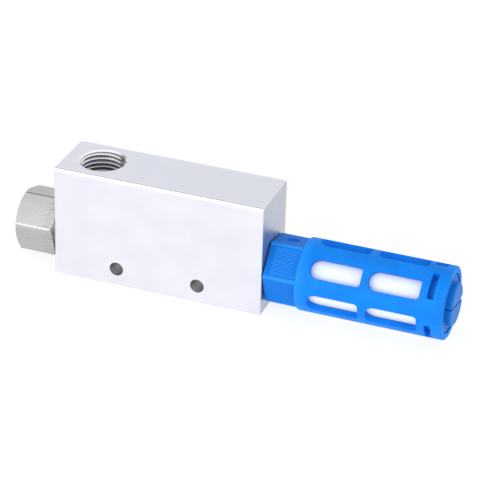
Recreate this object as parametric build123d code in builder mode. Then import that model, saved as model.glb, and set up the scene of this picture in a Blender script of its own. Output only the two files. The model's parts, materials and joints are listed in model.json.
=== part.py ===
from build123d import *
from math import cos, radians, sin
import os

# Single-stage vacuum generator (air ejector) with a screwed-in exhaust silencer.
#
# Compressed air enters the hex fitting at the -X end, leaves the nozzle as a jet, crosses the
# chamber under the vacuum port and is caught by the diffuser.  The exhaust leaves through the blue
# silencer at the +X end.  Origin: centre of the block's bottom face.  +X points to the silencer,
# -Y is the front face with the two mounting holes, +Z points up to the vacuum port.  Millimetres.

os.makedirs("parts", exist_ok=True)

# ---------------------------------------------------------------- driving dimensions

# Body block, an anodised aluminium bar
block_length = 65.0
block_depth = 20.0
block_height = 35.0
block_long_edge_radius = 0.5
block_end_edge_chamfer = 0.2
bore_height = 11.3              # height of the main bore's axis above the bottom face

# Pipe thread used at all three ports, drawn as plain cylinders at its major diameter
thread_major_radius = 13.157 / 2
port_mouth_chamfer = 0.5
running_clearance = 0.05        # radial, between a screwed-in shank and its bore

# Vacuum port, from the top face down into the mixing chamber
vacuum_port_inset = 11.25       # from the block's supply end to the port's axis
vacuum_port_depth = 13.0
vacuum_passage_radius = 4.5

# Mixing chamber and supply bore
supply_bore_depth = 9.0
chamber_radius = 5.0
chamber_end_depth = 16.0        # from the block's supply end

# Mounting holes, front to back under the diffuser
mount_hole_radius = 2.15
mount_hole_spacing = 25.5
mount_hole_web = 0.62           # metal left between the holes and the diffuser's bore

# Exhaust bore
exhaust_bore_depth = 11.0
fit_clearance = 0.03            # radial, between pieces that are pushed together by hand

# Diffuser, a turned brass tube with a flange at its exhaust end
diffuser_radius = 3.0
diffuser_mouth_reach = 1.5      # how far the bell mouth stands into the chamber
diffuser_flange_radius = 5.2
diffuser_flange_thickness = 3.0
diffuser_throat_radius = 1.2
diffuser_exit_radius = 2.2
diffuser_bell_radius = 2.4
diffuser_bell_length = 4.0
diffuser_throat_length = 7.0
diffuser_flange_recess = 1.0    # from the flange's exhaust face to the exhaust thread's floor

# Rings that seal the diffuser in its bore
diffuser_ring_section = 0.5     # radius of the rubber's round section
front_ring_setback = 13.0       # from the chamber's end wall to the front ring

# Inlet fitting, nickel-plated brass
inlet_hex_across_flats = 17.6
inlet_hex_length = 13.6
inlet_hex_turn = 13.8           # how far its front corner sits above the horizontal, in degrees
inlet_collar_length = 1.3
inlet_collar_radius = 8.2
inlet_hex_edge_radius = 0.25
inlet_corner_cut = 1.1          # axial length of the turned chamfer on the hex corners
inlet_end_inset = 0.1           # how far the turned end faces stay inside the hex's flats
inlet_shank_length = 8.5
inlet_passage_radius = 2.6
supply_port_depth = 10.5
inlet_ring_section = 0.75
ring_groove_clearance = 0.06

# Supply nozzle, brass, pushed into the fitting's nose
nozzle_seat_radius = 4.0
nozzle_seat_length = 6.0
nozzle_nose_length = 4.6
nozzle_nose_radius = 1.9
nozzle_throat_radius = 0.75
nozzle_tip_radius = 0.95
nozzle_inlet_radius = 2.4
nozzle_ring_section = 0.45

# Silencer housing, moulded blue nylon: threaded shank, hex and windowed cage
silencer_hex_across_flats = 18.2
silencer_turn = 11.3            # how far the hex's front corner sits above the horizontal, in degrees
silencer_hex_length = 9.7
silencer_hex_edge_radius = 0.5
silencer_hex_end_chamfer = 0.3
silencer_shank_length = 10.5
silencer_bore_radius = 4.4
cage_radius = 10.8
cage_wall = 2.0
cage_length = 43.9
cage_end_wall = 2.5             # solid wall between the hex and the element's cavity
cage_shoulder_radius = 0.6
cage_rim_radius = 0.5
sink_mark_radius = 1.85         # round dimple in the hex flat that faces up
sink_mark_depth = 0.5
sink_mark_inset = 5.4           # from the block's end face to the dimple's centre

# Windows of the cage: six columns, two rows
window_columns = 6
window_rows = 2
window_length = 15.2
window_width = 5.8
window_pitch = 17.4
window_inset = 3.9              # from the cage's hex end to the first row
window_hex_end_radius = 2.7
window_rim_end_radius = 1.0

# Latch slots near the rim, which take the end plug's tabs, and the two moulding windows
latch_count = 4
latch_slot_length = 1.8
latch_slot_arc = 44.0
latch_slot_end_angle = 74.5     # upper end of the first slot, in degrees from the front
latch_rim_gap = 3.3             # from the slots to the rim's end
latch_clearance = 0.1
latch_tab_arc = 28.0
latch_tab_end_gap = 0.1         # degrees, between a tab and the lower end of its slot
latch_tab_height = 0.9
core_window_length = 3.7
core_window_arc = 18.0
core_window_end_angle = 115.5
core_window_rim_gap = 2.3

# Sealing gasket under the silencer's hex
gasket_thickness = 0.3
gasket_width = 1.0

# Porous element, a rolled white felt tube
element_clearance = 0.2
element_bore_radius = 5.2

# End plug, with a split round boss
plug_recess = 0.4               # depth of the plug's face inside the rim
plug_skirt_length = 5.8
plug_skirt_wall = 1.6
plug_face_thickness = 2.4
plug_spigot_length = 7.0
plug_spigot_wall = 1.4
plug_boss_radius = 6.3
plug_boss_height = 2.0
plug_boss_edge = 0.4
plug_slit_width = 0.4
plug_notch_width = 1.6
plug_notch_depth = 1.8

# ---------------------------------------------------------------- places worked out from them

supply_end = -block_length / 2
exhaust_end = block_length / 2
main_axis = Axis((0, 0, bore_height), (1, 0, 0))
profile_plane = Plane(origin=(0, 0, bore_height), x_dir=(1, 0, 0), z_dir=(0, -1, 0))

shank_radius = thread_major_radius - running_clearance
bore_radius = thread_major_radius
mouth_radius = bore_radius + port_mouth_chamfer
vacuum_port_x = supply_end + vacuum_port_inset
diffuser_bore_radius = diffuser_radius + fit_clearance
mount_hole_height = bore_height - diffuser_bore_radius - mount_hole_web - mount_hole_radius

chamber_start = supply_end + supply_bore_depth
chamber_end = supply_end + chamber_end_depth
exhaust_bore_start = exhaust_end - exhaust_bore_depth
flange_bore_radius = diffuser_flange_radius + fit_clearance
flange_end = exhaust_bore_start - diffuser_flange_recess
flange_seat = flange_end - diffuser_flange_thickness
front_ring_x = chamber_end + front_ring_setback
rear_ring_x = flange_seat + diffuser_flange_thickness / 2

inlet_face = supply_end - inlet_hex_length
inlet_ring_radius = shank_radius - ring_groove_clearance
inlet_groove_radius = inlet_ring_radius - inlet_ring_section - ring_groove_clearance
inlet_recess_radius = inlet_ring_radius + inlet_ring_section + ring_groove_clearance
inlet_recess_depth = 2 * inlet_ring_section + 2 * ring_groove_clearance
inlet_ring_x = supply_end + inlet_recess_depth / 2
inlet_nose = supply_end + inlet_shank_length
nozzle_seat_start = inlet_nose - nozzle_seat_length
nozzle_ring_x = nozzle_seat_start + nozzle_seat_length / 2

hex_start = exhaust_end + gasket_thickness
cage_start = hex_start + silencer_hex_length
cage_end = cage_start + cage_length
cage_bore_radius = cage_radius - cage_wall
cavity_start = cage_start + cage_end_wall
latch_slot_end = cage_end - latch_rim_gap
core_window_end = cage_end - core_window_rim_gap

plug_face = cage_end - plug_recess
plug_skirt_start = plug_face - plug_skirt_length
plug_radius = cage_bore_radius - latch_clearance
element_radius = cage_bore_radius - element_clearance
spigot_radius = element_bore_radius - element_clearance


def station(x):
    """Plane across the main axis at x: local x is +Y, local y is +Z."""
    return Plane(origin=(x, 0, bore_height), x_dir=(0, 1, 0), z_dir=(1, 0, 0))


def outward(angle):
    """Unit vector away from the main axis: 0 degrees is the front, 90 degrees is the top."""
    return Vector(0, -cos(radians(angle)), sin(radians(angle)))


def wall_plane(x, angle, distance):
    """Plane that faces away from the main axis: local x is +X."""
    centre = Vector(x, 0, bore_height) + outward(angle) * distance
    return Plane(origin=centre, x_dir=(1, 0, 0), z_dir=outward(angle))


def half_plane(angle):
    """Plane through the main axis: local x is +X and local y points outward at the angle."""
    return Plane(
        origin=(0, 0, bore_height),
        x_dir=(1, 0, 0),
        z_dir=Vector(1, 0, 0).cross(outward(angle)),
    )


def hex_rotation(turn):
    """Rotation in a station sketch that puts a hex corner at the angle given from the front."""
    return (180 - turn) % 60


# ---------------------------------------------------------------- body block

with BuildPart() as body_block:
    with BuildSketch(Plane.YZ.offset(supply_end)):
        Rectangle(block_depth, block_height, align=(Align.CENTER, Align.MIN))
    extrude(amount=block_length)
    fillet(body_block.edges().filter_by(Axis.X), block_long_edge_radius)
    end_faces = body_block.faces().filter_by(Axis.X)
    chamfer(end_faces.edges(), block_end_edge_chamfer)

    # Stepped main bore: supply thread, mixing chamber, diffuser bore, flange seat, exhaust thread
    with BuildSketch(profile_plane):
        with BuildLine():
            Polyline(
                (supply_end, 0),
                (supply_end, inlet_recess_radius),
                (supply_end + inlet_recess_depth, inlet_recess_radius),
                (supply_end + inlet_recess_depth, bore_radius),
                (chamber_start, bore_radius),
                (chamber_start, chamber_radius),
                (chamber_end, chamber_radius),
                (chamber_end, diffuser_bore_radius),
                (flange_seat, diffuser_bore_radius),
                (flange_seat, flange_bore_radius),
                (exhaust_bore_start, flange_bore_radius),
                (exhaust_bore_start, bore_radius),
                (exhaust_end - port_mouth_chamfer, bore_radius),
                (exhaust_end, mouth_radius),
                (exhaust_end, 0),
                close=True,
            )
        make_face()
    revolve(axis=main_axis, mode=Mode.SUBTRACT)

    # Vacuum port: threaded bore with a countersunk mouth, and the passage down to the chamber
    port_plane = Plane(origin=(vacuum_port_x, 0, 0), x_dir=(1, 0, 0), z_dir=(0, -1, 0))
    with BuildSketch(port_plane):
        with BuildLine():
            Polyline(
                (0, bore_height),
                (vacuum_passage_radius, bore_height),
                (vacuum_passage_radius, block_height - vacuum_port_depth),
                (bore_radius, block_height - vacuum_port_depth),
                (bore_radius, block_height - port_mouth_chamfer),
                (mouth_radius, block_height),
                (0, block_height),
                close=True,
            )
        make_face()
    revolve(axis=Axis((vacuum_port_x, 0, 0), (0, 0, 1)), mode=Mode.SUBTRACT)

    # Two plain mounting holes, front to back
    with BuildSketch(Plane.XZ.offset(block_depth / 2)):
        with Locations((0, mount_hole_height)):
            with GridLocations(mount_hole_spacing, 0, 2, 1):
                Circle(mount_hole_radius)
    extrude(amount=-block_depth, mode=Mode.SUBTRACT)

body_block.part.label = "body_block"
export_step(body_block.part, "parts/body_block.step")

# ---------------------------------------------------------------- diffuser and its two rings

diffuser_start = chamber_end - diffuser_mouth_reach
throat_start = diffuser_start + diffuser_bell_length
throat_end = throat_start + diffuser_throat_length
front_groove_radius = diffuser_bore_radius - 2 * diffuser_ring_section - ring_groove_clearance
rear_groove_radius = flange_bore_radius - 2 * diffuser_ring_section - ring_groove_clearance

with BuildPart() as diffuser:
    with BuildSketch(profile_plane):
        with BuildLine():
            Line((diffuser_start, diffuser_bell_radius), (diffuser_start, diffuser_radius))
            Line((diffuser_start, diffuser_radius), (flange_seat, diffuser_radius))
            Line((flange_seat, diffuser_radius), (flange_seat, diffuser_flange_radius))
            Line((flange_seat, diffuser_flange_radius), (flange_end, diffuser_flange_radius))
            Line((flange_end, diffuser_flange_radius), (flange_end, diffuser_exit_radius))
            Line((flange_end, diffuser_exit_radius), (throat_end, diffuser_throat_radius))
            Line((throat_end, diffuser_throat_radius), (throat_start, diffuser_throat_radius))
            TangentArc(
                (throat_start, diffuser_throat_radius),
                (diffuser_start, diffuser_bell_radius),
                tangent=(-1, 0),
            )
        make_face()
    revolve(axis=main_axis)
    groove_places = (
        (front_ring_x, front_groove_radius, diffuser_radius),
        (rear_ring_x, rear_groove_radius, diffuser_flange_radius),
    )
    for ring_x, groove_floor, land_radius in groove_places:
        with BuildSketch(profile_plane):
            with Locations((ring_x, groove_floor)):
                Rectangle(
                    2 * diffuser_ring_section + 2 * ring_groove_clearance,
                    land_radius,
                    align=(Align.CENTER, Align.MIN),
                )
        revolve(axis=main_axis, mode=Mode.SUBTRACT)

diffuser.part.label = "diffuser"
export_step(diffuser.part, "parts/diffuser.step")

with BuildPart() as diffuser_front_o_ring:
    with BuildSketch(profile_plane):
        with Locations((front_ring_x, front_groove_radius + diffuser_ring_section)):
            Circle(diffuser_ring_section)
    revolve(axis=main_axis)

diffuser_front_o_ring.part.label = "diffuser_front_o_ring"
export_step(diffuser_front_o_ring.part, "parts/diffuser_front_o_ring.step")

with BuildPart() as diffuser_rear_o_ring:
    with BuildSketch(profile_plane):
        with Locations((rear_ring_x, rear_groove_radius + diffuser_ring_section)):
            Circle(diffuser_ring_section)
    revolve(axis=main_axis)

diffuser_rear_o_ring.part.label = "diffuser_rear_o_ring"
export_step(diffuser_rear_o_ring.part, "parts/diffuser_rear_o_ring.step")

# ---------------------------------------------------------------- inlet fitting and its ring

inlet_corner_radius = inlet_hex_across_flats / 2 / cos(radians(30))
inlet_flat_radius = inlet_hex_across_flats / 2
hex_back = supply_end - inlet_collar_length
supply_port_floor = inlet_face + supply_port_depth
nozzle_bore_radius = nozzle_seat_radius + fit_clearance

with BuildPart() as inlet_fitting:
    with BuildSketch(station(inlet_face)) as inlet_section:
        RegularPolygon(
            inlet_flat_radius, 6, major_radius=False, rotation=hex_rotation(inlet_hex_turn)
        )
        fillet(inlet_section.vertices(), inlet_hex_edge_radius)
    extrude(amount=hex_back - inlet_face)
    # Both ends of the hex are turned down to a circle at its corners
    with BuildSketch(profile_plane):
        with BuildLine():
            Polyline(
                (inlet_face, 0),
                (inlet_face, inlet_flat_radius - inlet_end_inset),
                (inlet_face + inlet_corner_cut, inlet_corner_radius),
                (hex_back - inlet_corner_cut, inlet_corner_radius),
                (hex_back, inlet_flat_radius - inlet_end_inset),
                (hex_back, 0),
                close=True,
            )
        make_face()
    revolve(axis=main_axis, mode=Mode.INTERSECT)
    # Collar that seats on the block, ring groove and threaded shank
    with BuildSketch(profile_plane):
        with BuildLine():
            Polyline(
                (hex_back, 0),
                (hex_back, inlet_collar_radius),
                (supply_end, inlet_collar_radius),
                (supply_end, inlet_groove_radius),
                (supply_end + inlet_recess_depth, inlet_groove_radius),
                (supply_end + inlet_recess_depth, shank_radius),
                (inlet_nose - port_mouth_chamfer, shank_radius),
                (inlet_nose, shank_radius - port_mouth_chamfer),
                (inlet_nose, 0),
                close=True,
            )
        make_face()
    revolve(axis=main_axis)
    # Supply port, passage and nozzle seat
    with BuildSketch(profile_plane):
        with BuildLine():
            Polyline(
                (inlet_face, 0),
                (inlet_face, mouth_radius),
                (inlet_face + port_mouth_chamfer, bore_radius),
                (supply_port_floor, bore_radius),
                (supply_port_floor, inlet_passage_radius),
                (nozzle_seat_start, inlet_passage_radius),
                (nozzle_seat_start, nozzle_bore_radius),
                (inlet_nose, nozzle_bore_radius),
                (inlet_nose, 0),
                close=True,
            )
        make_face()
    revolve(axis=main_axis, mode=Mode.SUBTRACT)

inlet_fitting.part.label = "inlet_fitting"
export_step(inlet_fitting.part, "parts/inlet_fitting.step")

with BuildPart() as inlet_o_ring:
    with BuildSketch(profile_plane):
        with Locations((inlet_ring_x, inlet_ring_radius)):
            Circle(inlet_ring_section)
    revolve(axis=main_axis)

inlet_o_ring.part.label = "inlet_o_ring"
export_step(inlet_o_ring.part, "parts/inlet_o_ring.step")

# ---------------------------------------------------------------- supply nozzle and its ring

nozzle_tip = inlet_nose + nozzle_nose_length
nozzle_throat_x = nozzle_tip - nozzle_nose_length / 2
nozzle_groove_radius = nozzle_bore_radius - 2 * nozzle_ring_section - ring_groove_clearance

with BuildPart() as supply_nozzle:
    with BuildSketch(profile_plane):
        with BuildLine():
            Polyline(
                (nozzle_seat_start, nozzle_inlet_radius),
                (nozzle_seat_start, nozzle_seat_radius),
                (inlet_nose, nozzle_seat_radius),
                (nozzle_tip, nozzle_nose_radius),
                (nozzle_tip, nozzle_tip_radius),
                (nozzle_throat_x, nozzle_throat_radius),
                close=True,
            )
        make_face()
    revolve(axis=main_axis)
    with BuildSketch(profile_plane):
        with Locations((nozzle_ring_x, nozzle_groove_radius)):
            Rectangle(
                2 * nozzle_ring_section + 2 * ring_groove_clearance,
                nozzle_seat_radius,
                align=(Align.CENTER, Align.MIN),
            )
    revolve(axis=main_axis, mode=Mode.SUBTRACT)

supply_nozzle.part.label = "supply_nozzle"
export_step(supply_nozzle.part, "parts/supply_nozzle.step")

with BuildPart() as nozzle_o_ring:
    with BuildSketch(profile_plane):
        with Locations((nozzle_ring_x, nozzle_groove_radius + nozzle_ring_section)):
            Circle(nozzle_ring_section)
    revolve(axis=main_axis)

nozzle_o_ring.part.label = "nozzle_o_ring"
export_step(nozzle_o_ring.part, "parts/nozzle_o_ring.step")

# ---------------------------------------------------------------- silencer housing

shank_start = exhaust_end - silencer_shank_length
sink_mark_angle = silencer_turn + 90

with BuildPart() as silencer_housing:
    with BuildSketch(station(hex_start)) as hex_section:
        RegularPolygon(
            silencer_hex_across_flats / 2,
            6,
            major_radius=False,
            rotation=hex_rotation(silencer_turn),
        )
        fillet(hex_section.vertices(), silencer_hex_edge_radius)
    extrude(amount=silencer_hex_length)
    chamfer(silencer_housing.faces().sort_by(Axis.X)[0].edges(), silencer_hex_end_chamfer)

    with BuildSketch(profile_plane) as turned_outline:
        with BuildLine():
            Polyline(
                (shank_start, 0),
                (shank_start, shank_radius - port_mouth_chamfer),
                (shank_start + port_mouth_chamfer, shank_radius),
                (cage_start, shank_radius),
                (cage_start, cage_radius),
                (cage_end, cage_radius),
                (cage_end, 0),
                close=True,
            )
        make_face()
        shoulder_corner = turned_outline.vertices().group_by(Axis.Y)[-1].sort_by(Axis.X)[0]
        fillet(shoulder_corner, cage_shoulder_radius)
        rim_corner = turned_outline.vertices().group_by(Axis.Y)[-1].sort_by(Axis.X)[-1]
        fillet(rim_corner, cage_rim_radius)
    revolve(axis=main_axis)

    # Exhaust bore, and the cavity that holds the element and the end plug
    with BuildSketch(profile_plane):
        with BuildLine():
            Polyline(
                (shank_start, 0),
                (shank_start, silencer_bore_radius),
                (cavity_start, silencer_bore_radius),
                (cavity_start, cage_bore_radius),
                (cage_end, cage_bore_radius),
                (cage_end, 0),
                close=True,
            )
        make_face()
    revolve(axis=main_axis, mode=Mode.SUBTRACT)

    # Windows, centred on the flats of the hex
    cut_start = cage_bore_radius / 2
    for column in range(window_columns):
        window_angle = silencer_turn + 30 + column * 360 / window_columns
        for row in range(window_rows):
            window_start = cage_start + window_inset + row * window_pitch
            with BuildSketch(wall_plane(window_start, window_angle, cut_start)) as window:
                Rectangle(window_length, window_width, align=(Align.MIN, Align.CENTER))
                fillet(window.vertices().group_by(Axis.X)[0], window_hex_end_radius)
                fillet(window.vertices().group_by(Axis.X)[-1], window_rim_end_radius)
            extrude(amount=cage_radius, mode=Mode.SUBTRACT)

    # Slots for the end plug's tabs
    for latch in range(latch_count):
        slot_angle = latch_slot_end_angle + latch * 360 / latch_count
        with BuildSketch(half_plane(slot_angle)):
            with Locations((latch_slot_end, cage_bore_radius - cage_wall)):
                Rectangle(latch_slot_length, 3 * cage_wall, align=(Align.MAX, Align.MIN))
        revolve(axis=main_axis, revolution_arc=latch_slot_arc, mode=Mode.SUBTRACT)

    # Two moulding windows, opposite each other
    for side in range(2):
        with BuildSketch(half_plane(core_window_end_angle + side * 180)):
            with Locations((core_window_end, cage_bore_radius - cage_wall)):
                Rectangle(core_window_length, 3 * cage_wall, align=(Align.MAX, Align.MIN))
        revolve(axis=main_axis, revolution_arc=core_window_arc, mode=Mode.SUBTRACT)

    # Round dimple in the hex flat that faces up
    flat_distance = silencer_hex_across_flats / 2
    with BuildSketch(wall_plane(exhaust_end + sink_mark_inset, sink_mark_angle, flat_distance)):
        Circle(sink_mark_radius)
    extrude(amount=-sink_mark_depth, mode=Mode.SUBTRACT)

silencer_housing.part.label = "silencer_housing"
export_step(silencer_housing.part, "parts/silencer_housing.step")

# ---------------------------------------------------------------- gasket under the silencer's hex

gasket_bore_radius = mouth_radius + fit_clearance

with BuildPart() as silencer_gasket:
    with BuildSketch(station(exhaust_end)):
        Circle(gasket_bore_radius + gasket_width)
        Circle(shank_radius + fit_clearance, mode=Mode.SUBTRACT)
    extrude(amount=gasket_thickness)

silencer_gasket.part.label = "silencer_gasket"
export_step(silencer_gasket.part, "parts/silencer_gasket.step")

# ---------------------------------------------------------------- porous element

with BuildPart() as silencer_element:
    with BuildSketch(station(cavity_start)):
        Circle(element_radius)
        Circle(element_bore_radius, mode=Mode.SUBTRACT)
    extrude(amount=plug_skirt_start - cavity_start)

silencer_element.part.label = "silencer_element"
export_step(silencer_element.part, "parts/silencer_element.step")

# ---------------------------------------------------------------- end plug

plug_inner_face = plug_face - plug_face_thickness
spigot_end = plug_skirt_start - plug_spigot_length
boss_end = plug_face + plug_boss_height
slit_plane = Plane(
    origin=(boss_end, 0, bore_height),
    x_dir=outward(silencer_turn + 180),
    z_dir=(1, 0, 0),
)
tab_end_angle = latch_slot_end_angle - latch_slot_arc + latch_tab_end_gap + latch_tab_arc

with BuildPart() as silencer_end_plug:
    with BuildSketch(profile_plane) as plug_outline:
        with BuildLine():
            Polyline(
                (plug_inner_face, 0),
                (plug_inner_face, spigot_radius - plug_spigot_wall),
                (spigot_end, spigot_radius - plug_spigot_wall),
                (spigot_end, spigot_radius),
                (plug_skirt_start, spigot_radius),
                (plug_inner_face, spigot_radius),
                (plug_inner_face, plug_radius - plug_skirt_wall),
                (plug_skirt_start, plug_radius - plug_skirt_wall),
                (plug_skirt_start, plug_radius),
                (plug_face, plug_radius),
                (plug_face, plug_boss_radius),
                (boss_end - plug_boss_edge, plug_boss_radius),
                (boss_end, plug_boss_radius - plug_boss_edge),
                (boss_end, 0),
                close=True,
            )
        make_face()
    revolve(axis=main_axis)

    # Tabs that stand in the cage's slots
    for latch in range(latch_count):
        tab_angle = tab_end_angle + latch * 360 / latch_count
        with BuildSketch(half_plane(tab_angle)):
            with Locations((latch_slot_end - latch_clearance, plug_radius - plug_skirt_wall / 2)):
                Rectangle(
                    latch_slot_length - 2 * latch_clearance,
                    plug_skirt_wall / 2 + latch_tab_height,
                    align=(Align.MAX, Align.MIN),
                )
        revolve(axis=main_axis, revolution_arc=latch_tab_arc)

    # Slit across the boss, with a V notch at its back end
    with BuildSketch(slit_plane):
        Rectangle(3 * plug_boss_radius, plug_slit_width)
        with BuildLine():
            Polyline(
                (plug_boss_radius - plug_notch_depth, 0),
                (plug_boss_radius + plug_notch_depth, plug_notch_width),
                (plug_boss_radius + plug_notch_depth, -plug_notch_width),
                close=True,
            )
        make_face()
    extrude(amount=-plug_boss_height, mode=Mode.SUBTRACT)

silencer_end_plug.part.label = "silencer_end_plug"
export_step(silencer_end_plug.part, "parts/silencer_end_plug.step")
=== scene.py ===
# %% [markdown]
# # A vacuum generator, dressed in Blender
#
# The object is a small air ejector.  Compressed air enters the nickel-plated hex fitting on the left,
# shoots out of a nozzle inside the aluminium block, drags air out of the large threaded port on top,
# and leaves through the blue silencer on the right.
#
# The CAD model is the fixed frame: it says how large everything is and what moves.  This lesson adds the
# looks.  Nodes whose shape is already right keep their mesh and get a material.  Pieces that need
# rounded edges, real threads or moulded detail are modelled again here, inside the same space.

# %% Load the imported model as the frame
import json
import math

import bmesh
import bpy
from mathutils import Matrix, Vector


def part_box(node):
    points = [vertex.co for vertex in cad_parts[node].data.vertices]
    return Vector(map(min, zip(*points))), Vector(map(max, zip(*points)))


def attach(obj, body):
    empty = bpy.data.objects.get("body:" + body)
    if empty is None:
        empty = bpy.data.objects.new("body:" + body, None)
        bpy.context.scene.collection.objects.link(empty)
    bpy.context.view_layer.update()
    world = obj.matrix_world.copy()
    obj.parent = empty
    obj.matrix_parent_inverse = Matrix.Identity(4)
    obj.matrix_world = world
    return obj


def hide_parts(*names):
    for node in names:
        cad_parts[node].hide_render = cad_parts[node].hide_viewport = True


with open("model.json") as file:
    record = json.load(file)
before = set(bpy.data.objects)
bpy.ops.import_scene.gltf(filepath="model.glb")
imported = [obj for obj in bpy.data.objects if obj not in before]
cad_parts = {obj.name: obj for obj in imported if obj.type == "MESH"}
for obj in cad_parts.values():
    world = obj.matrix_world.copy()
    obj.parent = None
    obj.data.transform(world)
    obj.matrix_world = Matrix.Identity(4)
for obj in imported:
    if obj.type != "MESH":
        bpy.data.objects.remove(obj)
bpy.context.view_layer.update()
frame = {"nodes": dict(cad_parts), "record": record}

scene = bpy.context.scene

# %% [markdown]
# Every size below starts from the frame.  The frame is in metres, but fittings are thought of in
# millimetres, so the pieces are modelled at one unit to the millimetre and scaled down when they are
# finished.  That also keeps merge distances and bevels well away from rounding errors.

# %% Sizes read from the frame, in millimetres
MM = 0.001


def cad_box(node):
    """Lowest and highest corner of a CAD node, in millimetres."""
    return [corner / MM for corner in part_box(node)]


block_low, block_high = cad_box("body_block")
inlet_low, inlet_high = cad_box("inlet_fitting")
housing_low, _ = cad_box("silencer_housing")
element_low, element_high = cad_box("silencer_element")
plug_low, plug_high = cad_box("silencer_end_plug")
gasket_low, gasket_high = cad_box("silencer_gasket")

bore_height = (gasket_low.z + gasket_high.z) / 2
supply_end, exhaust_end = block_low.x, block_high.x
GRIP_LENGTH = 9.7
hex_start = gasket_high.x
cage_start = hex_start + GRIP_LENGTH
mounts = {mount["name"]: mount for mount in frame["record"]["mounts"]}
port, holes = mounts["vacuum_port"], mounts["mounting_holes"]
port_x = port["pos_m"][0] / MM
thread_radius = port["dims"]["r_mm"]
hole_height = holes["pos_m"][2] / MM
hole_spacing = holes["dims"]["spacing_x_mm"]
hole_radius = holes["dims"]["hole_r_mm"]
print("bore axis", round(bore_height, 3), "thread radius", thread_radius)

# %% [markdown]
# ## Building node trees
#
# The room and every finish are networks of nodes.  Each helper adds one node and links it up, so that a
# network reads from top to bottom like a recipe.

# %% Node helpers
def node(tree, kind, inputs=(), **settings):
    """Add a node; inputs are (socket, value or linked socket) pairs."""
    made = tree.nodes.new(kind)
    for key, value in settings.items():
        setattr(made, key, value)
    for socket, value in inputs:
        if isinstance(value, bpy.types.NodeSocket):
            tree.links.new(value, made.inputs[socket])
        else:
            made.inputs[socket].default_value = value
    return made


def maths(tree, operation, *values):
    """The output of one Math node."""
    return node(tree, "ShaderNodeMath", list(enumerate(values)), operation=operation).outputs[0]


def vectors(tree, operation, *values):
    """One Vector Math node."""
    return node(tree, "ShaderNodeVectorMath", list(enumerate(values)), operation=operation)


def faded(tree, value, low, high, to_low=0.0, to_high=1.0):
    """A value mapped smoothly from low..high to to_low..to_high."""
    ends = [("Value", value), ("From Min", low), ("From Max", high)]
    ends += [("To Min", to_low), ("To Max", to_high)]
    kind = "ShaderNodeMapRange"
    return node(tree, kind, ends, interpolation_type="SMOOTHSTEP").outputs["Result"]


def blended(tree, factor, first, second, amount=1.0):
    """Two colours blended by a factor, or by a share of it."""
    if amount != 1.0:
        factor = maths(tree, "MULTIPLY", factor, amount)
    inputs = [(0, factor), (6, first), (7, second)]
    return node(tree, "ShaderNodeMix", inputs, data_type="RGBA").outputs[2]


def split(tree, vector):
    """The X, Y and Z of a vector."""
    return node(tree, "ShaderNodeSeparateXYZ", [("Vector", vector)]).outputs


# %% [markdown]
# ## The studio
#
# The camera stands far away and has a long lens, so that the block's edges stay nearly parallel.  It is
# placed by its azimuth, elevation and a small roll, as a tripod head would be set.

# %% Camera
camera_azimuth, camera_elevation, camera_roll = (math.radians(a) for a in (19.65, 28.88, 1.74))
camera_place = Vector((210.48, -527.63, 326.82)) * MM

camera_data = bpy.data.cameras.new("camera")
camera_data.sensor_width = 36.0
camera_data.lens = 164.93
camera_data.clip_start = 0.02
camera_data.clip_end = 20.0
camera = bpy.data.objects.new("camera", camera_data)
scene.collection.objects.link(camera)
camera.matrix_world = (
    Matrix.Translation(camera_place)
    @ Matrix.Rotation(camera_azimuth, 4, "Z")
    @ Matrix.Rotation(math.pi / 2 - camera_elevation, 4, "X")
    @ Matrix.Rotation(camera_roll, 4, "Z")
)
scene.camera = camera
print("camera", camera.location, "lens", camera_data.lens)

# %% [markdown]
# The part lies on a light table: a white floor that glows from below, so that it stands on clean white
# with only a breath of shadow.  The room is an even white with two dark panels, one high up behind and
# one on the left, which give the metal something to mirror.  One large soft lamp stands low in front.
# The rounded front edge of the block and the corner of the inlet hex catch it as a white line.  On the
# block that line is widened by a painted highlight.

# %% Floor
scene.view_settings.view_transform = "Standard"

FLOOR_GLOW, FLOOR_SIZE = 0.86, 4.0
floor_paper = bpy.data.materials.new("floor_paper")
floor_paper.use_nodes = True
paper = {"Base Color": (0.2, 0.2, 0.2, 1), "Roughness": 1.0, "Specular IOR Level": 0.0}
paper |= {"Emission Color": (1.0, 1.0, 1.0, 1), "Emission Strength": FLOOR_GLOW}
for socket, value in paper.items():
    floor_paper.node_tree.nodes["Principled BSDF"].inputs[socket].default_value = value


def added(primitive, **settings):
    """Add one primitive while nothing else is selected."""
    bpy.ops.object.select_all(action="DESELECT")
    primitive(**settings)
    return bpy.context.object


floor_place = (0, 0, block_low.z * MM - 0.0001)
floor = added(bpy.ops.mesh.primitive_plane_add, size=FLOOR_SIZE, location=floor_place)
floor.name = "floor"
floor.data.materials.append(floor_paper)

# %% Room with two dark panels, each a direction and the cosine of its reach
PANELS = [((0.0, 0.545, 0.839), 0.97), ((-0.9, 0.217, 0.375), 0.95)]
room = bpy.data.worlds.new("room")
room.use_nodes = True
air = room.node_tree
direction = air.nodes.new("ShaderNodeTexCoord").outputs["Generated"]
walls = []
for place, reach in PANELS:
    towards = vectors(air, "DOT_PRODUCT", direction, place).outputs["Value"]
    walls.append(faded(air, towards, reach - 0.015, reach + 0.01, 0.99, 0.1))
air.links.new(maths(air, "MULTIPLY", *walls), air.nodes["Background"].inputs["Strength"])
air.nodes["Background"].inputs["Color"].default_value = (0.97, 0.98, 1.0, 1)
scene.world = room
print("dark panels", len(walls))


# %% Lamps
def lamp(name, place, size, watts):
    """A large disc lamp at a place in metres, aimed at the object."""
    data = bpy.data.lights.new(name, "AREA")
    data.shape = "DISK"
    data.size = size
    data.energy = watts
    made = bpy.data.objects.new(name, data)
    scene.collection.objects.link(made)
    made.location = place
    made.rotation_mode = "QUATERNION"
    made.rotation_quaternion = (-Vector(place)).to_track_quat("-Z", "Y")
    return made


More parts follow.
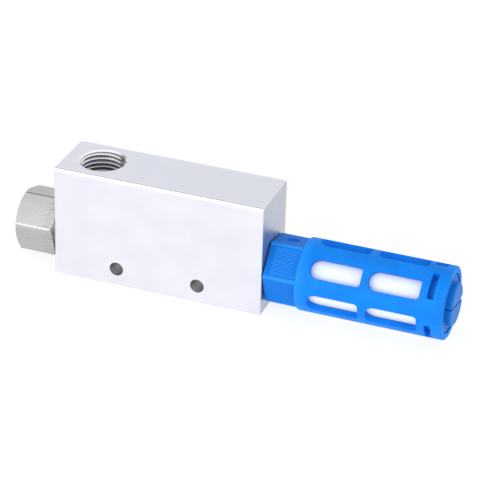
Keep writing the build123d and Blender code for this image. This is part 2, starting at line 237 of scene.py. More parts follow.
lamp("key_lamp", (-0.33, -1.0, 0.34), 0.7, 3.6)
lamp("side_lamp", (1.0, -0.45, 0.45), 0.5, 1.0)

# %% [markdown]
# ## Workshop helpers
#
# Blender's operators act on whatever is selected, so each helper starts by choosing exactly one
# piece.  The first helpers cover what a modeller does by hand: go into edit mode, pick points, edges or
# faces by their place, bevel them, cut one solid with another, and finish.

# %% Choosing and editing
def only(piece):
    """Make piece the one selected and active object."""
    bpy.ops.object.select_all(action="DESELECT")
    piece.hide_set(False)
    piece.select_set(True)
    bpy.context.view_layer.objects.active = piece
    return piece


def settle(piece):
    """Apply the piece's place, turn and scale to its mesh."""
    only(piece)
    bpy.ops.object.transform_apply(location=True, rotation=True, scale=True)
    return piece


def pick(piece, kind, test):
    """In edit mode, leave selected only the VERT, EDGE or FACE elements that pass the test."""
    bpy.ops.mesh.select_mode(type=kind)
    bpy.ops.mesh.select_all(action="DESELECT")
    mesh = bmesh.from_edit_mesh(piece.data)
    elements = {"VERT": mesh.verts, "EDGE": mesh.edges, "FACE": mesh.faces}[kind]
    picked = [element for element in elements if test(element)]
    for element in picked:
        element.select_set(True)
    mesh.select_flush_mode()
    bmesh.update_edit_mesh(piece.data)
    return len(picked)


def edit(piece, kind, test, operator, **settings):
    """Go into edit mode, pick elements, use one operator on them and come back."""
    only(piece)
    bpy.ops.object.mode_set(mode="EDIT")
    picked = pick(piece, kind, test)
    if picked:
        operator(**settings)
    bpy.ops.object.mode_set(mode="OBJECT")
    return picked


def lies_at(element, axis, place):
    """True if an edge or face lies in the plane at a place along an axis, 0, 1 or 2 for X, Y or Z."""
    return all(abs(v.co[axis] - place) < 0.001 for v in element.verts)


def spans(edge, axis):
    """How far an edge reaches along an axis."""
    return abs(edge.verts[0].co[axis] - edge.verts[1].co[axis])


def round_edges(piece, test, width, segments=3):
    """Bevel the edges that pass the test."""
    bevel = {"offset": width, "segments": segments, "affect": "EDGES", "clamp_overlap": True}
    return edit(piece, "EDGE", test, bpy.ops.mesh.bevel, **bevel)


def clean(piece, distance=0.001):
    """Merge doubled points and turn every face outwards."""
    edit(piece, "VERT", lambda v: True, bpy.ops.mesh.remove_doubles, threshold=distance)
    edit(piece, "FACE", lambda f: True, bpy.ops.mesh.normals_make_consistent, inside=False)
    return piece


# %% Modifiers, cutting and joining
def modify(piece, kind, **settings):
    """Add one modifier with its settings and apply it."""
    only(piece)
    modifier = piece.modifiers.new(kind.lower(), kind)
    for key, value in settings.items():
        setattr(modifier, key, value)
    bpy.ops.object.modifier_apply(modifier=modifier.name)
    return piece


def cut(piece, tool, operation="DIFFERENCE"):
    """Cut piece with tool, or join or intersect the two, and throw the tool away."""
    modify(piece, "BOOLEAN", object=tool, operation=operation, solver="EXACT")
    bpy.data.objects.remove(tool)
    return piece


def open_edges(piece):
    """How many edges of a mesh don't have exactly two faces."""
    surface = bmesh.new()
    surface.from_mesh(piece.data)
    count = sum(len(edge.link_faces) != 2 for edge in surface.edges)
    surface.free()
    return count


def joined(pieces):
    """One object made of several."""
    only(pieces[0])
    for piece in pieces[1:]:
        piece.select_set(True)
    bpy.ops.object.join()
    return pieces[0]


def copy_of(piece):
    """A copy of a piece with its own mesh."""
    twin = piece.copy()
    twin.data = piece.data.copy()
    scene.collection.objects.link(twin)
    return twin


def box(low, high):
    """A box between two corners, ready to be shaped or to cut with."""
    centre = [(a + b) / 2 for a, b in zip(low, high)]
    made = added(bpy.ops.mesh.primitive_cube_add, size=1, location=centre)
    made.scale = [b - a for a, b in zip(low, high)]
    return settle(made)


def finished(piece, name, material, body, node=None):
    """Bring a modelled piece to metres, smooth it, dress it and hand it to its body."""
    piece.scale = (MM, MM, MM)
    settle(piece)
    piece.name = piece.data.name = name
    bpy.ops.object.shade_smooth_by_angle(angle=math.radians(32))
    modify(piece, "WEIGHTED_NORMAL", keep_sharp=True, weight=80)
    piece.data.materials.clear()
    piece.data.materials.append(material)
    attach(piece, body)
    if node:
        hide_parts(node)
    surface = bmesh.new()
    surface.from_mesh(piece.data)
    loose = open_edges(piece)
    low, high = (Vector([f(v.co[i] for v in surface.verts) / MM for i in range(3)]) for f in (min, max))
    volume = surface.calc_volume(signed=True) / MM**3
    print(f"{name}: {len(surface.faces)} faces, {loose} open edges, volume {volume:.0f} mm3")
    print("   from", [round(c, 2) for c in low], "to", [round(c, 2) for c in high])
    surface.free()
    return piece


# %% [markdown]
# Most of this object was made on a lathe.  A turned piece starts as a circle of points round the bore's
# axis.  Each station of its section extrudes the circle along the axis and resizes it, so the section
# reads like a turner's drawing: a list of places along the axis with a radius at each.

# %% Turning
TURNING_STEPS = 144


def turn_about_bore(piece, degrees):
    """Turn a piece's mesh about the bore's axis, from the front towards the top."""
    about = Matrix.Translation((0, 0, bore_height))
    piece.data.transform(about @ Matrix.Rotation(-math.radians(degrees), 4, "X") @ about.inverted())
    return piece


def turned(stations, steps=TURNING_STEPS, capped=True, seam=0.0):
    """A solid of revolution.  stations are (x, radius); a closed section ends where it starts."""
    x, radius = stations[0]
    hollow = stations[0] == stations[-1] or not capped
    start = {"location": (x, 0, bore_height), "rotation": (0, math.pi / 2, 0)}
    start["fill_type"] = "NOTHING" if hollow else "NGON"
    piece = settle(added(bpy.ops.mesh.primitive_circle_add, vertices=steps, radius=radius, **start))
    bpy.ops.object.mode_set(mode="EDIT")
    bpy.ops.mesh.select_mode(type="VERT")
    bpy.ops.mesh.select_all(action="SELECT")
    for (x0, r0), (x1, r1) in zip(stations, stations[1:]):
        bpy.ops.mesh.extrude_region_move(TRANSFORM_OT_translate={"value": (x1 - x0, 0, 0)})
        centre = (x1, 0, bore_height)
        bpy.ops.transform.resize(value=(1, r1 / r0, r1 / r0), center_override=centre)
    bpy.ops.object.mode_set(mode="OBJECT")
    return turn_about_bore(clean(piece), seam)


def arc(centre_x, centre_radius, radius, start, end, points=6):
    """Stations along an arc of the section, angles in degrees from the +X direction."""
    angles = [math.radians(start + (end - start) * i / (points - 1)) for i in range(points)]
    return [(centre_x + radius * math.cos(a), centre_radius + radius * math.sin(a)) for a in angles]


# %% [markdown]
# ## Threads
#
# All three ports share one pipe thread, with a pitch of 1.337 mm.  The CAD draws it as a plain cylinder,
# which is right for fitting and for collision but not for looks.  A real thread is one long ridge.  Its
# section is a four-point profile, and the Screw modifier winds it round the axis.  The ends run out
# gradually, as a tap leaves them, by sinking the ridge into its wall over the first part of a turn.
#
# A thread in a hole stands inwards from the wall, and a thread on a shank stands outwards from its core.
# The two are wound half a pitch apart, so they mesh without touching.

# %% Thread ridge
THREAD_PITCH = 1.337
ROOT_WIDTH, CREST_WIDTH = 1.07, 0.2
CORE_RADIUS = thread_radius - 0.91
HOLE_CREST_RADIUS = thread_radius - 0.84
SHANK_CREST_RADIUS = thread_radius - 0.07
RUN_OUT_TURNS = 0.3
THREAD_STEPS = 72


def thread_ridge(first_x, turns, root, crest):
    """One closed right-handed ridge round the bore's axis, from first_x towards +X."""
    axis_point = (first_x, 0, bore_height)
    upright = (math.pi / 2, 0, 0)
    ridge = added(bpy.ops.mesh.primitive_plane_add, size=1, location=axis_point, rotation=upright)
    bpy.ops.object.transform_apply(location=False, rotation=True, scale=False)
    bpy.ops.object.mode_set(mode="EDIT")
    bpy.ops.transform.resize(value=(1, 1, abs(root - crest)), center_override=axis_point)
    bpy.ops.transform.translate(value=(0, 0, (root + crest) / 2))
    for radius, width in ((root, ROOT_WIDTH), (crest, CREST_WIDTH)):
        pick(ridge, "VERT", lambda v: abs(v.co.z - radius) < 0.01)
        bpy.ops.transform.resize(value=(width, 1, 1), center_override=axis_point)
    bpy.ops.object.mode_set(mode="OBJECT")
    winding = {"iterations": turns, "steps": THREAD_STEPS, "render_steps": THREAD_STEPS}
    modify(ridge, "SCREW", axis="X", angle=2 * math.pi, screw_offset=THREAD_PITCH, **winding)
    settle(ridge)
    edit(ridge, "EDGE", lambda e: e.is_boundary, bpy.ops.mesh.fill_holes, sides=8)
    for vertex in ridge.data.vertices:
        across = Vector((0, vertex.co.y, vertex.co.z - bore_height))
        part_turn = math.atan2(-across.y, across.z) / (2 * math.pi) % 1.0
        progress = (vertex.co.x - first_x) / THREAD_PITCH
        turn = part_turn + round(progress - part_turn)
        middle = first_x + turn * THREAD_PITCH
        fade = max(0.03, min(1.0, turn / RUN_OUT_TURNS, (turns - turn) / RUN_OUT_TURNS))
        radius = root + (across.length - root) * fade
        across = across.normalized() * radius
        vertex.co = (middle + (vertex.co.x - middle) * fade, across.y, across.z + bore_height)
    return clean(ridge)


# %% [markdown]
# ## Finishes
#
# Each finish is a small network of nodes.  Effects that several finishes share are node groups: they
# take the surface point and a few numbers, and put out a mask, a tone or a height.  The shader stays in
# the material.  Everything is measured on Object coordinates, which are metres from the block's foot, so
# a scale of 1000 draws a pattern about a millimetre across.

# %% Effect groups
def group(name, inputs, output):
    """An empty effect group with named inputs and one named output."""
    tree = bpy.data.node_groups.new(name, "ShaderNodeTree")
    for socket, kind in inputs:
        tree.interface.new_socket(socket, in_out="INPUT", socket_type="NodeSocket" + kind)
    tree.interface.new_socket(output, in_out="OUTPUT", socket_type="NodeSocketFloat")
    return tree, tree.nodes.new("NodeGroupInput").outputs, tree.nodes.new("NodeGroupOutput").inputs


def effect(tree, effect_tree, **values):
    """Place an effect group in a material and give its output."""
    inputs = [(key.replace("_", " "), value) for key, value in values.items()]
    return node(tree, "ShaderNodeGroup", inputs, node_tree=effect_tree).outputs[0]


# %% [markdown]
# Brushing, drawing and rolling all leave grain that is long one way and fine across.  Noise that is
# squeezed along one axis looks just like it, so one group serves the drawn bar, the ground hex and the
# turned brass, each with its own stretch.

# %% Effect: drawn grain
tree, given, out = group(
    "drawn_grain", [("Vector", "Vector"), ("Stretch", "Vector"), ("Scale", "Float")], "Grain"
)
squeezed = vectors(tree, "MULTIPLY", given["Vector"], given["Stretch"]).outputs[0]
noise = [("Vector", squeezed), ("Scale", given["Scale"]), ("Detail", 5.0), ("Roughness", 0.65)]
grain = node(tree, "ShaderNodeTexNoise", noise).outputs["Fac"]
tree.links.new(faded(tree, grain, 0.25, 0.75), out["Grain"])
drawn_grain = tree

# %% Effect: cloudy tone, for handling marks and uneven colour
tree, given, out = group(
    "cloudy_tone", [("Vector", "Vector"), ("Scale", "Float"), ("Sharpness", "Float")], "Tone"
)
noise = [("Vector", given["Vector"]), ("Scale", given["Scale"]), ("Detail", 3.0)]
cloud = node(tree, "ShaderNodeTexNoise", noise).outputs["Fac"]
half_range = maths(tree, "SUBTRACT", 0.5, given["Sharpness"])
low = maths(tree, "SUBTRACT", 0.5, half_range)
high = maths(tree, "ADD", 0.5, half_range)
tree.links.new(faded(tree, cloud, low, high), out["Tone"])
cloudy_tone = tree

# %% [markdown]
# The block is anodised before it is drilled and tapped, so its bores are bare metal: bright where the
# mouth is countersunk.  Further into the vacuum port the metal is darker with painted shade.  A bore is
# the space nearer to an axis than a radius.  The group keeps only the directions across that axis,
# measures the distance, and fades over a hair's width at the rim.

# %% Effect: inside a bore
tree, given, out = group(
    "inside_bore",
    [("Vector", "Vector"), ("Centre", "Vector"), ("Across", "Vector"), ("Radius", "Float")],
    "Mask",
)
offset = vectors(tree, "SUBTRACT", given["Vector"], given["Centre"]).outputs[0]
across = vectors(tree, "MULTIPLY", offset, given["Across"]).outputs[0]
distance = vectors(tree, "LENGTH", across).outputs["Value"]
rim = maths(tree, "ADD", given["Radius"], 0.00012)
tree.links.new(faded(tree, distance, given["Radius"], rim, 1.0, 0.0), out["Mask"])
inside_bore = tree

# %% Effect: worn edges of a box-shaped piece, with a painted highlight
tree, given, out = group(
    "worn_edges_and_highlight",
    [("Vector", "Vector"), ("Centre", "Vector"), ("Half", "Vector"), ("Reach", "Float")],
    "Wear and highlight",
)
offset = vectors(tree, "SUBTRACT", given["Vector"], given["Centre"]).outputs[0]
away = vectors(tree, "ABSOLUTE", offset).outputs[0]
inset = vectors(tree, "SUBTRACT", given["Half"], away)
parts = split(tree, inset.outputs[0])
near = [faded(tree, part, 0.0, given["Reach"], 1.0, 0.0) for part in parts]
two_near = maths(tree, "SUBTRACT", maths(tree, "ADD", near[0], near[1]), 1.0)
two_near = maths(tree, "ADD", two_near, near[2])
noise = [("Vector", given["Vector"]), ("Scale", 900.0), ("Detail", 4.0)]
patches = node(tree, "ShaderNodeTexNoise", noise).outputs["Fac"]
patchy = maths(tree, "MULTIPLY", two_near, faded(tree, patches, 0.2, 0.5, 0.6, 1.0))
wear_and_highlight = node(tree, "ShaderNodeClamp", [("Value", patchy)]).outputs[0]
tree.links.new(wear_and_highlight, out["Wear and highlight"])
worn_edges_and_highlight = tree
print("effects", [g.name for g in (drawn_grain, cloudy_tone, inside_bore, worn_edges_and_highlight)])


# %% A new finish: its tree, its surface point and its shader
def finish_of(name, **constants):
    """A material with one Principled shader, whose constants are set on its own sockets."""
    material = bpy.data.materials.new(name)
    material.use_nodes = True
    tree = material.node_tree
    shader = tree.nodes["Principled BSDF"]
    for socket, value in constants.items():
        shader.inputs[socket.replace("_", " ")].default_value = value
    point = tree.nodes.new("ShaderNodeTexCoord").outputs["Object"]
    return material, tree, shader, point


def dressed_with(tree, shader, colour, relief, depth, rough=None):
    """Link a finish's colour, its relief (depth in metres) and its roughness to the shader."""
    bump = node(tree, "ShaderNodeBump", [("Height", relief), ("Distance", depth), ("Strength", 1.0)])
    tree.links.new(colour, shader.inputs["Base Color"])
    tree.links.new(bump.outputs["Normal"], shader.inputs["Normal"])
    if rough:
        tree.links.new(rough, shader.inputs["Roughness"])


# %% [markdown]
# ### Anodised aluminium
#
# The block is cut from drawn bar and clear anodised: a satin, faintly cool silver.  Its grain runs along
# the bar, so the stretch keeps X long.  A cloudy tone of a few percent stops the large faces from looking
# like paper.  The long top edges are painted bright, a little wear and mostly a painted highlight, with a
# thin grey line behind the front one that is a painted dark reflection.  The two end faces are darker
# with painted shade.

# %% Finish: anodised bar
def anodised_bar(name, bores):
    """Clear-anodised drawn bar with bare metal inside the listed bores, and painted shade further into
    the port.
    """
    material, tree, shader, point = finish_of(name, Metallic=0.9)
    grain = effect(tree, drawn_grain, Vector=point, Stretch=(0.04, 1.0, 1.0), Scale=6500.0)
    cloud = effect(tree, cloudy_tone, Vector=point, Scale=110.0, Sharpness=0.2)
    skin = blended(tree, cloud, (0.77, 0.775, 0.85, 1), (0.815, 0.82, 0.89, 1))
    skin = blended(tree, grain, skin, (0.66, 0.665, 0.72, 1), 0.12)
    middle = tuple((a + b) / 2 * MM for a, b in zip(block_low, block_high))
    half = tuple((b - a) / 2 * MM for a, b in zip(block_low, block_high))
    low_middle = (middle[0], middle[1], -0.01)
    long_half = (1.0, half[1], block_high.z * MM + 0.01)
    # The long top edges painted bright: a little wear, and mostly a painted highlight.
    wear_and_highlight = effect(tree, worn_edges_and_highlight, Vector=point, Centre=low_middle, Half=long_half, Reach=0.0017)
    skin = blended(tree, wear_and_highlight, skin, (0.99, 0.99, 1.0, 1), 0.95)
    along, depth, height = split(tree, point)
    # A thin grey line on the top face behind the front edge: a painted dark reflection.
    off_edge = maths(tree, "ADD", depth, half[1])
    painted_edge_reflection = maths(tree, "MULTIPLY", faded(tree, off_edge, 0.0002, 0.00025), 0.9)
    painted_edge_reflection = maths(tree, "MULTIPLY", painted_edge_reflection, faded(tree, off_edge, 0.0006, 0.00065, 1.0, 0.0))
    top = block_high.z * MM
    painted_edge_reflection = maths(tree, "MULTIPLY", painted_edge_reflection, faded(tree, height, top - 0.00013, top - 0.0001))
    skin = blended(tree, painted_edge_reflection, skin, (0.52, 0.52, 0.54, 1))
    # Both end faces darker: painted shade.
    from_middle = maths(tree, "ABSOLUTE", along)
    painted_end_shade = faded(tree, from_middle, half[0] - 0.00006, half[0] - 0.00003)
    skin = blended(tree, painted_end_shade, skin, (0.5, 0.52, 0.59, 1))
    for centre, across, radius, tone in bores:
        place = tuple(c * MM for c in centre)
        mask = effect(tree, inside_bore, Vector=point, Centre=place, Across=across, Radius=radius * MM)
        skin = blended(tree, mask, skin, (tone, tone, tone + 0.01, 1))
    rough = faded(tree, maths(tree, "ADD", grain, cloud), 0.0, 2.0, 0.3, 0.42)
    dressed_with(tree, shader, skin, grain, 0.000004, rough)
    return material


middle_height = (block_low.z + block_high.z) / 2
bores = [
    ((0.0, 0.0, bore_height), (0, 1, 1), thread_radius + 0.72, 0.92),
    ((port_x, 0.0, middle_height), (1, 1, 0), thread_radius + 0.42, 0.97),
    # Further into the port the tone of 0.4 is painted shade.
    ((port_x, 0.0, middle_height), (1, 1, 0), thread_radius - 0.05, 0.4),
    ((-hole_spacing / 2, 0.0, hole_height), (1, 0, 1), hole_radius + 0.01, 0.75),
    ((hole_spacing / 2, 0.0, hole_height), (1, 0, 1), hole_radius + 0.01, 0.75),
]
anodised = anodised_bar("anodised_bar", bores)


# %% [markdown]
# ### Tapped thread, nickel plate and brass
# A tapped thread is bright on its crests, with painted shade at its root, and in the port painted shade
# deepens further down.  Its tone follows the distance from the port's axis.  Nickel plate over ground
# brass is warmer than aluminium, with grain that runs along the hex and a few scuffs where a spanner has
# held it.  Its lower side and top flat get painted shade, its upper corner a painted dark reflection, and
# the inside of its port painted shade.  The turned brass inside shows fine rings.

# %% Finish: tapped thread
PORT_CREST_RADIUS = thread_radius - 0.5


def tapped_metal(name, colour, centre, across, crest_radius, mouth):
    """Cut metal round one axis: a bright crest, painted shade at the root and deeper down from the mouth.
    """
    material, tree, shader, point = finish_of(name, Metallic=1.0)
    place = tuple(c * MM for c in centre)
    radius = crest_radius * MM
    offset = vectors(tree, "SUBTRACT", point, place).outputs[0]
    distance = vectors(tree, "LENGTH", vectors(tree, "MULTIPLY", offset, across).outputs[0])
    # Painted shade at the thread's root, away from its crest.
    root = faded(tree, distance.outputs["Value"], radius + 0.00015, radius + 0.00045)
    grain = effect(tree, drawn_grain, Vector=point, Stretch=(1.0, 1.0, 1.0), Scale=5000.0)
    bright = blended(tree, grain, colour, (0.7, 0.7, 0.72, 1), 0.2)
    metal = blended(tree, root, bright, (0.4, 0.4, 0.42, 1))
    # Painted shade that deepens further down from the port's mouth.
    height = split(tree, point)["Z"]
    deep = faded(tree, height, (mouth - 5.5) * MM, (mouth - 1.2) * MM, 0.75, 0.0)
    metal = blended(tree, deep, metal, (0.25, 0.25, 0.27, 1))
    dressed_with(tree, shader, metal, grain, 0.000003, faded(tree, grain, 0.0, 1.0, 0.16, 0.28))
    return material


bright_cut = (0.98, 0.98, 0.99, 1)
port_centre, bore_centre = (port_x, 0.0, middle_height), (0.0, 0.0, bore_height)
port_thread_metal = tapped_metal(
    "tapped_aluminium_up", bright_cut, port_centre, (1, 1, 0), PORT_CREST_RADIUS, block_high.z
)
bore_thread_metal = tapped_metal(
    "tapped_aluminium_along", bright_cut, bore_centre, (0, 1, 1), HOLE_CREST_RADIUS, -100.0
)


# %% Finish: nickel plate
INLET_FLATS, INLET_TURN = 17.6, 13.8
inlet_corner = INLET_FLATS / 2 / math.cos(math.radians(30))
upper_angle = math.radians(INLET_TURN + 60)
UPPER_CORNER = (0.0, -math.cos(upper_angle), math.sin(upper_angle))


def nickel_plate(name):
    """Nickel over ground brass: grain along the hex, scuffs near the block, painted shade and a painted
    dark reflection.
    """
    material, tree, shader, point = finish_of(name, Metallic=0.95)
    grain = effect(tree, drawn_grain, Vector=point, Stretch=(0.035, 1.0, 1.0), Scale=6500.0)
    cloud = effect(tree, cloudy_tone, Vector=point, Scale=260.0, Sharpness=0.3)
    colour = blended(tree, grain, (0.6, 0.595, 0.6, 1), (0.67, 0.665, 0.67, 1))
    colour = blended(tree, cloud, colour, (0.74, 0.735, 0.74, 1), 0.2)
    along, _, height = split(tree, point)
    near_block = faded(tree, along, (supply_end - 6.0) * MM, (supply_end - 2.0) * MM)
    scratches = effect(tree, drawn_grain, Vector=point, Stretch=(0.35, 1.0, 1.0), Scale=1500.0)
    scuffs = maths(tree, "MULTIPLY", near_block, faded(tree, scratches, 0.52, 0.8))
    colour = blended(tree, scuffs, colour, (0.36, 0.35, 0.34, 1), 0.6)
    # The lower side darker: painted shade.
    painted_underside_shade = faded(tree, height, (bore_height + 0.5) * MM, (bore_height + 3.0) * MM, 0.45, 0.0)
    colour = blended(tree, painted_underside_shade, colour, (0.3, 0.285, 0.3, 1))
    # Darker towards the top: painted shade.
    painted_upper_shade = faded(tree, height, (bore_height + 3.5) * MM, (bore_height + 9.5) * MM, 0.0, 0.3)
    colour = blended(tree, painted_upper_shade, colour, (0.35, 0.35, 0.36, 1))
    place = vectors(tree, "SUBTRACT", point, (0.0, 0.0, bore_height * MM)).outputs[0]
    depth = split(tree, place)["Y"]
    # The top flat, behind the upper corner, darker: painted shade.
    top_edge = -inlet_corner * math.cos(upper_angle)
    painted_top_flat_shade = faded(tree, depth, (top_edge - 0.15) * MM, (top_edge + 0.15) * MM, 0.0, 0.75)
    colour = blended(tree, painted_top_flat_shade, colour, (0.4, 0.4, 0.4, 1))
    # A dark line along the upper corner: a painted dark reflection.
    rise = vectors(tree, "DOT_PRODUCT", place, UPPER_CORNER).outputs["Value"]
    painted_corner_reflection = faded(tree, rise, (inlet_corner - 0.15) * MM, (inlet_corner - 0.1) * MM, 0.0, 0.8)
    colour = blended(tree, painted_corner_reflection, colour, (0.12, 0.12, 0.13, 1))
    # Inside the fitting's port the plate is darker: painted shade.
    bore = {"Centre": (0.0, 0.0, bore_height * MM), "Across": (0, 1, 1)}
    painted_port_shade = effect(tree, inside_bore, Vector=point, Radius=(thread_radius + 0.3) * MM, **bore)
    colour = blended(tree, painted_port_shade, colour, (0.42, 0.41, 0.4, 1))
    relief = maths(tree, "SUBTRACT", grain, scuffs)
    dressed_with(tree, shader, colour, relief, 0.000006, faded(tree, grain, 0.0, 1.0, 0.24, 0.4))
    return material


nickel = nickel_plate("ground_nickel")


# %% Finish: turned brass
def turned_brass(name):
    """Machined brass with the fine rings that a lathe leaves."""
    material, tree, shader, point = finish_of(name, Metallic=1.0)
    rings = effect(tree, drawn_grain, Vector=point, Stretch=(1.0, 0.02, 0.02), Scale=7000.0)
    colour = blended(tree, rings, (0.72, 0.5, 0.2, 1), (0.86, 0.66, 0.34, 1))
    dressed_with(tree, shader, colour, rings, 0.000003, faded(tree, rings, 0.0, 1.0, 0.18, 0.32))
    return material


brass = turned_brass("turned_brass")


# %% [markdown]
# ### Blue nylon
#
# The silencer's housing and its plug are moulded in one bright blue nylon.  Nylon is slightly waxy: the
# colour is deep and even, the gloss soft.  The mould leaves a fine skin, and the colour clouds a little
# where the plastic flowed.  The sheen is kept low so that the blue stays saturated in bright light.  A
# lighter blue is painted as a highlight on the shoulder, on the grip's rib crests and along its corners,
# and the plug's darker copy of the same blues is painted shade.

# %% Finish: moulded nylon
RIBBED_WAY = (0.0, -math.cos(math.radians(41.3)), math.sin(math.radians(41.3)))
GRIP_FLAT = 9.1  # from the bore's axis to a flat of the grip's hex, in millimetres
GRIP_CORNER = 10.4


def moulded_nylon(name, deep, light, roughness):
    """Bright moulded nylon, clouded between two close blues, deeper on the grip, with painted highlights.
    """
    material, tree, shader, point = finish_of(name, Specular_IOR_Level=0.16)
    flow = effect(tree, cloudy_tone, Vector=point, Scale=190.0, Sharpness=0.15)
    skin = effect(tree, drawn_grain, Vector=point, Stretch=(1.0, 1.0, 1.0), Scale=3200.0)
    colour = blended(tree, flow, deep, light)
    colour = blended(tree, skin, colour, deep, 0.1)
    along = split(tree, point)["X"]
    # Lighter blue near the shoulder: a painted highlight.
    painted_shoulder_highlight = faded(tree, along, cage_start * MM, (cage_start + 4.0) * MM, 0.5, 0.0)
    colour = blended(tree, painted_shoulder_highlight, colour, (0.015, 0.34, 1.0, 1))
    grip = faded(tree, along, (cage_start - 0.1) * MM, (cage_start + 0.1) * MM, 0.9, 0.0)
    colour = blended(tree, grip, colour, (0.0, 0.165, 0.68, 1))
    place = vectors(tree, "SUBTRACT", point, (0.0, 0.0, bore_height * MM)).outputs[0]
    rise = maths(tree, "ABSOLUTE", vectors(tree, "DOT_PRODUCT", place, RIBBED_WAY).outputs["Value"])
    # Lighter blue on the crests of the grip's ribs: a painted highlight.
    crest = faded(tree, rise, GRIP_FLAT * MM + 0.00006, GRIP_FLAT * MM + 0.00014)
    crest = maths(tree, "MULTIPLY", maths(tree, "MULTIPLY", crest, grip), 0.8)
    colour = blended(tree, crest, colour, (0.03, 0.36, 1.0, 1))
    # Lighter blue along the grip's corners: a painted highlight.
    across = vectors(tree, "MULTIPLY", place, (0.0, 1.0, 1.0)).outputs[0]
    reach = vectors(tree, "LENGTH", across).outputs["Value"]
    corner = faded(tree, reach, (GRIP_CORNER - 0.3) * MM, (GRIP_CORNER - 0.1) * MM, 0.0, 0.6)
    colour = blended(tree, maths(tree, "MULTIPLY", corner, grip), colour, (0.03, 0.36, 1.0, 1))
    dressed_with(tree, shader, colour, skin, 0.000008, faded(tree, skin, 0.0, 1.0, *roughness))
    return material


nylon = moulded_nylon("blue_nylon_moulded", (0.0, 0.185, 0.72, 1), (0.0, 0.245, 0.89, 1), (0.5, 0.62))
# The plug's darker copy of the same nylon: painted shade.
plug_nylon_shaded = moulded_nylon("blue_nylon_plug_shaded", (0.0, 0.155, 0.56, 1), (0.002, 0.19, 0.66, 1), (0.45, 0.55))


# %% [markdown]
# ### Felt and rubber
#
# The element is a rolled tube of white felt: no gloss, a fibrous surface and a faint sheen from the
# fibre ends.  The seals are black rubber, which is never quite black: it has a grey bloom.

# %% Finish: white felt
def rolled_felt(name):
    """White felt with matted fibres."""
    constants = {"Roughness": 1.0, "Specular_IOR_Level": 0.1, "Sheen_Weight": 0.25}
    material, tree, shader, point = finish_of(name, **constants)
    fibres = effect(tree, drawn_grain, Vector=point, Stretch=(0.5, 1.0, 1.0), Scale=2600.0)
    tufts = effect(tree, cloudy_tone, Vector=point, Scale=700.0, Sharpness=0.25)
    colour = blended(tree, fibres, (0.86, 0.89, 0.96, 1), (0.95, 0.96, 1.0, 1))
    colour = blended(tree, tufts, colour, (0.97, 0.975, 1.0, 1), 0.3)
    dressed_with(tree, shader, colour, maths(tree, "ADD", fibres, tufts), 0.00003)
    return material


felt = rolled_felt("rolled_white_felt")


# %% Finish: black rubber
def seal_rubber(name):
    """Black rubber with a grey bloom."""
    material, tree, shader, point = finish_of(name, Specular_IOR_Level=0.35)
    bloom = effect(tree, cloudy_tone, Vector=point, Scale=900.0, Sharpness=0.1)
    colour = blended(tree, bloom, (0.012, 0.012, 0.013, 1), (0.035, 0.036, 0.04, 1))
    dressed_with(tree, shader, colour, bloom, 0.000006, faded(tree, bloom, 0.0, 1.0, 0.45, 0.7))
    return material


rubber = seal_rubber("seal_rubber")
print("finishes", [m.name for m in bpy.data.materials if m.use_nodes])

# %% [markdown]
# ## Dressing the CAD nodes
#
# The block, the brass inside it and the seals are already the right shape, so their meshes stay as they
# are and only get their finishes.

# %% Finishes on the carried-over nodes
dressed = {
    "body_block": anodised,
    "diffuser": brass,
    "supply_nozzle": brass,
    "diffuser_front_o_ring": rubber,
    "diffuser_rear_o_ring": rubber,
    "nozzle_o_ring": rubber,
    "inlet_o_ring": rubber,
    "silencer_gasket": rubber,
}
for name, material in dressed.items():
    mesh = frame["nodes"][name].data
    mesh.materials.clear()
    mesh.materials.append(material)
    print(name, "is", material.name, "custom normals", mesh.has_custom_normals)

# %% [markdown]
# ## Threads in the block
#
# The vacuum port on top shows its thread, so it gets a real one.  It is wound along the bore's axis like
# the others, cut off by the cone of the port's mouth, and then stood upright at the port.  The supply
# and exhaust bores are threaded too: they come into view when the fittings are screwed out.

# %% The block's three threads
def hole_thread(name, first_x, turns, material, body="block"):
    """A thread on the wall of a bore along the main axis."""
    ridge = thread_ridge(first_x, turns, thread_radius + 0.03, HOLE_CREST_RADIUS)
    return finished(ridge, name, material, body)


def shank_thread(hole_start, turns):
    """The ridge on a shank, half a pitch on from the ridge of its hole."""
    first_x = hole_start + THREAD_PITCH / 2
    return thread_ridge(first_x, turns, CORE_RADIUS - 0.03, SHANK_CREST_RADIUS)


PORT_DEPTH, FIRST_TURN = 13.0, 1.23
port_floor = block_high.z - PORT_DEPTH
mouth_radius = thread_radius + 0.5
port_ridge = thread_ridge(port_floor + FIRST_TURN, 9, thread_radius + 0.03, PORT_CREST_RADIUS)
mouth_cone = [(block_high.z - 2, mouth_radius - 2), (block_high.z + 2, mouth_radius + 2)]
cut(port_ridge, turned(mouth_cone))
upright = Matrix.Translation((port_x, 0, 0)) @ Matrix.Rotation(-math.pi / 2, 4, "Y")
port_ridge.data.transform(upright @ Matrix.Translation((0, 0, -bore_height)))
finished(port_ridge, "vacuum_port_thread", port_thread_metal, "block")

supply_thread_start = supply_end + 2.1
exhaust_thread_start = exhaust_end - 10.3
hole_thread("supply_bore_thread", supply_thread_start, 4, bore_thread_metal)
hole_thread("exhaust_bore_thread", exhaust_thread_start, 7, bore_thread_metal)

# %% [markdown]
# ## Inlet fitting
#
# The real fitting is turned from hexagonal brass bar and nickel plated.  It is made the same way here:
# a six-sided bar, its long corners broken by a small bevel, its ends turned down by intersecting it with
# a double cone, then the collar and shank added and the port bored from the free end.

# %% Hexagonal bar
COLLAR_LENGTH, COLLAR_RADIUS = 1.3, 8.2
CORNER_CUT, BACK_CUT = 1.1, 0.55


